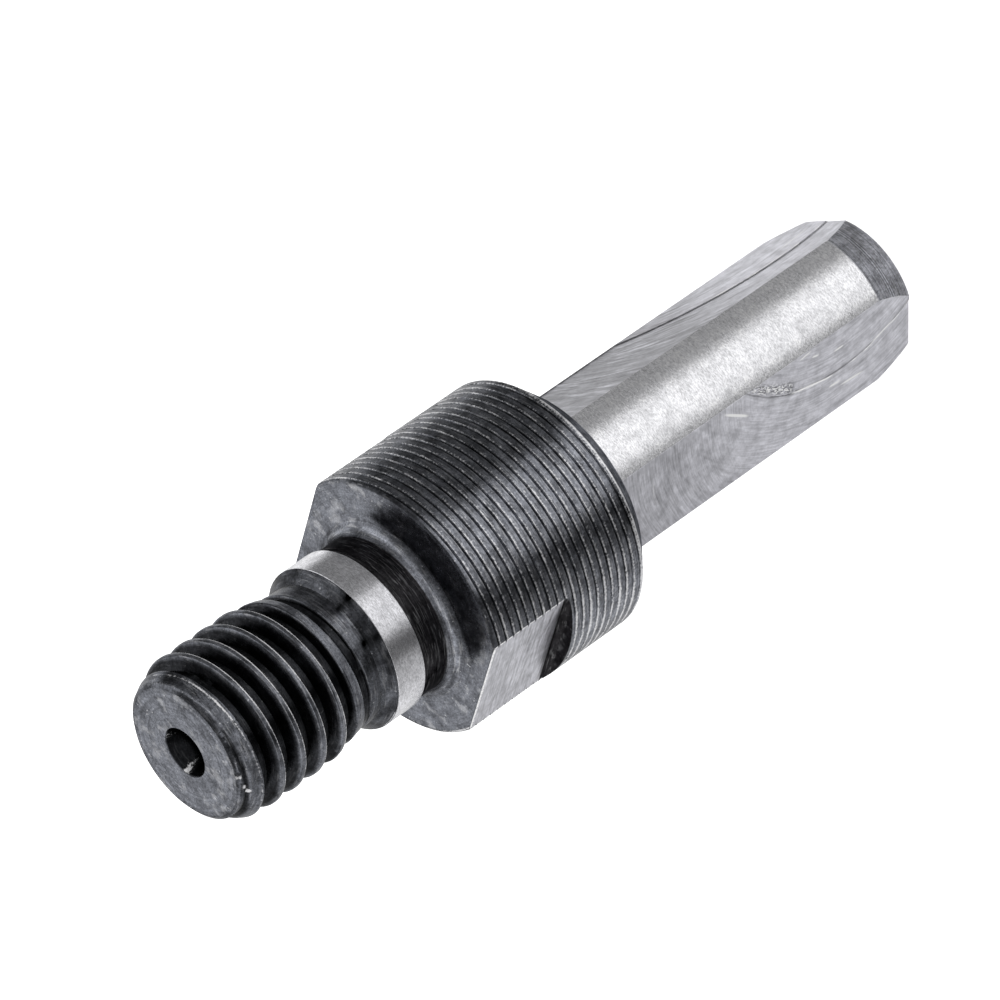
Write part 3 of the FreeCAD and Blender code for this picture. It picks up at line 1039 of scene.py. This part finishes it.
class MakeShank(bpy.types.Operator):
    """Make the drill shank with its three milled flats"""
    bl_idname = "adapter.make_shank"
    bl_label = "Drill Shank"

    def execute(self, context):
        settings = context.scene.adapter
        n = in_mm(settings.shank)
        x, y, z, marks, kinds = shank_skin(n, in_mm(settings.collar).low + SHANK_REACH)
        x, y = [np.vstack([END_ROWS[:, None] * g[:1], g, 0 * g[-1:]]) for g in (x, y)]
        z = np.vstack([np.zeros((len(END_ROWS), z.shape[1])), z, z[-1:]])
        marks = {key: np.vstack([g[:1]] * len(END_ROWS) + [g, g[-1:]]) for key, g in marks.items()}
        marks["turned"] = z
        materials = [finish_of(name, settings.colours) for name in
                     ("ground_steel", "milled_steel", "turned_dark_steel")]
        pick = lambda h: np.where(h < n.lead * 0.99, 2 * (kinds < 0.5) + kinds, kinds)
        piece = grid_object("drill_shank", x, y, z, marks, materials, pick)
        finish_piece(piece, SHARP_SHANK)
        return {"FINISHED"}


# Middle of the studio's front, in degrees round the axis
STUDIO_FRONT = 67.4

# Brightness of the studio low down, by share of a turn from its front, and higher up, by the
# sine of the height over the horizon
STUDIO_ROUND = ((0, 1.1), (0.07, 1.14), (0.12, 0.28), (0.22, 0.28), (0.32, 0.22), (0.37, 1.15),
                (0.43, 1.2), (0.47, 0.75), (0.55, 0.8), (0.6, 1.0), (0.66, 1.0), (0.71, 0.72),
                (0.79, 0.6), (0.87, 0.1), (0.905, 0.12), (0.953, 1.0), (1, 1.1))
STUDIO_OVER = ((0.3, 0.25), (0.46, 1.25), (0.6, 1.2), (0.76, 0.3), (1, 0.18))

# Light that the floor gives off by itself
FLOOR_GLOW = 0.72

# The overhead lamp's width and height in metres, and its power in watts
LAMP_WIDTH, LAMP_HEIGHT, LAMP_POWER = 1.6, 1.2, 6

# Point that the camera looks at, and the nearest that it sees, in metres
AIM = Vector((-0.0013457, 0.0005714, 0.027059))
NEAREST = 0.01


def grey_ramp(tree, value, stops):
    """A grey level for a value, eased between stops that each have a place and a level."""
    ramp = add(tree, "ValToRGB", (value,))
    ramp.color_ramp.interpolation = "EASE"
    band = ramp.color_ramp.elements
    while len(band) < len(stops):
        band.new(0.5)
    for mark, (place, level) in zip(band, stops):
        mark.position = place
        mark.color = (level, level, level, 1)
    return ramp


def soft_boxes(tree):
    """Brightness of the studio by direction.

    Low down it follows the angle round the part, as soft boxes and the gaps between them
    do. A large box hangs at middle height, overhead it is dark, and straight down is the
    pale table.
    """
    front = STUDIO_FRONT / 360
    ray = add(tree, "TexCoord").outputs["Generated"]
    east, north, up = add(tree, "SeparateXYZ", (ray,)).outputs
    angle = add(tree, "Math", (north, east), operation="ARCTAN2")
    turned = add(tree, "Math", (angle, 1 / (2 * math.pi), 1 - front), operation="MULTIPLY_ADD")
    around = add(tree, "Math", (turned,), operation="FRACT")
    under = add(tree, "MapRange", (up, -0.64, -0.86), interpolation_type="SMOOTHSTEP")
    low = add(tree, "Mix", {"Factor": under, 6: grey_ramp(tree, around, STUDIO_ROUND),
                            7: (1, 1, 1, 1)}, data_type="RGBA")
    high = add(tree, "MapRange", (up, 0.0, 0.35), interpolation_type="SMOOTHSTEP")
    return add(tree, "Mix", {"Factor": high, 6: low.outputs[2],
                             7: grey_ramp(tree, up, STUDIO_OVER)}, data_type="RGBA").outputs[2]


class SetStage(bpy.types.Operator):
    """Set the pale floor, the soft light and the camera"""
    bl_idname = "adapter.set_stage"
    bl_label = "Stage"

    def execute(self, context):
        scene = context.scene
        stage = scene.adapter.stage
        size = stage.floor_size / 2
        mesh = bpy.data.meshes.new("floor")
        corners = [(-size, -size, 0), (size, -size, 0), (size, size, 0), (-size, size, 0)]
        mesh.from_pydata(corners, [], [(0, 1, 2, 3)])
        floor = bpy.data.objects.new("floor", mesh)
        scene.collection.objects.link(floor)
        floor.visible_glossy = False
        material, tree = new_material("pale_floor")
        diffuse = add(tree, "BsdfDiffuse", {"Color": rgb(scene.adapter.colours.floor)})
        glow = add(tree, "Emission", {"Color": (1, 1, 1, 1), "Strength": FLOOR_GLOW})
        both = add(tree, "AddShader", (diffuse, glow))
        add(tree, "OutputMaterial", {"Surface": both})
        mesh.materials.append(material)

        world = bpy.data.worlds.new("studio")
        scene.world = world
        world.use_nodes = True
        tree = world.node_tree
        tree.nodes.clear()
        background = add(tree, "Background", {"Color": soft_boxes(tree), "Strength": 1.0})
        add(tree, "OutputWorld", {"Surface": background})

        lamp = bpy.data.lights.new("overhead", "AREA")
        lamp.shape = "DISK"
        lamp.size = LAMP_WIDTH
        lamp.energy = LAMP_POWER
        above = bpy.data.objects.new("overhead", lamp)
        above.location = (0, 0, LAMP_HEIGHT)
        above.visible_glossy = False
        scene.collection.objects.link(above)

        level = math.cos(stage.elevation)
        outwards = Vector((level * math.cos(stage.azimuth), level * math.sin(stage.azimuth),
                           math.sin(stage.elevation)))
        side = (-outwards).cross(Vector((0, 0, 1))).normalized()
        rise = side.cross(-outwards)
        turn, lift = math.cos(stage.roll), math.sin(stage.roll)
        right = turn * side + lift * rise
        up = turn * rise - lift * side
        lens = bpy.data.cameras.new("camera")
        lens.lens = stage.focal
        lens.sensor_width = 36
        lens.clip_start = NEAREST
        camera = bpy.data.objects.new("camera", lens)
        turned = Matrix((right, up, outwards)).transposed().to_4x4()
        camera.matrix_world = Matrix.Translation(AIM + outwards * stage.distance) @ turned
        scene.collection.objects.link(camera)
        scene.camera = camera
        scene.view_settings.view_transform = "Standard"
        scene.view_settings.look = "None"
        return {"FINISHED"}


class AdapterSettings(bpy.types.PropertyGroup):
    thread: PointerProperty(type=AdapterThreadSizes)
    band: PointerProperty(type=AdapterBandSizes)
    collar: PointerProperty(type=AdapterCollarSizes)
    shank: PointerProperty(type=AdapterShankSizes)
    colours: PointerProperty(type=AdapterColours)
    stage: PointerProperty(type=AdapterStage)


class ADAPTER_PT_sidebar(bpy.types.Panel):
    """Sizes, colours and pieces of the adapter"""
    bl_label = "Grinder Adapter"
    bl_space_type = "VIEW_3D"
    bl_region_type = "UI"
    bl_category = "Adapter"

    def draw(self, context):
        settings = context.scene.adapter
        operators = (MakeThreadedEnd, MakePilotBand, MakeCollar, MakeShank, SetStage)
        for key, operator in zip(("thread", "band", "collar", "shank", "stage"), operators):
            box = self.layout.box()
            group = getattr(settings, key)
            for size in group.__annotations__:
                box.prop(group, size)
            box.operator(operator.bl_idname)
        for key in settings.colours.__annotations__:
            self.layout.prop(settings.colours, key)


CLASSES = (
    AdapterThreadSizes, AdapterBandSizes, AdapterCollarSizes, AdapterShankSizes, AdapterColours,
    AdapterStage, AdapterSettings, MakeThreadedEnd, MakePilotBand, MakeCollar, MakeShank, SetStage,
    ADAPTER_PT_sidebar,
)


def register():
    for cls in CLASSES:
        bpy.utils.register_class(cls)
    bpy.types.Scene.adapter = PointerProperty(type=AdapterSettings)


def unregister():
    del bpy.types.Scene.adapter
    for cls in reversed(CLASSES):
        bpy.utils.unregister_class(cls)


def main():
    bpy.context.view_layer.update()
    register()
    bpy.ops.adapter.make_threaded_end()
    bpy.ops.adapter.make_pilot_band()
    bpy.ops.adapter.make_collar()
    bpy.ops.adapter.make_shank()
    bpy.ops.adapter.set_stage()


if __name__ == "__main__":
    main()
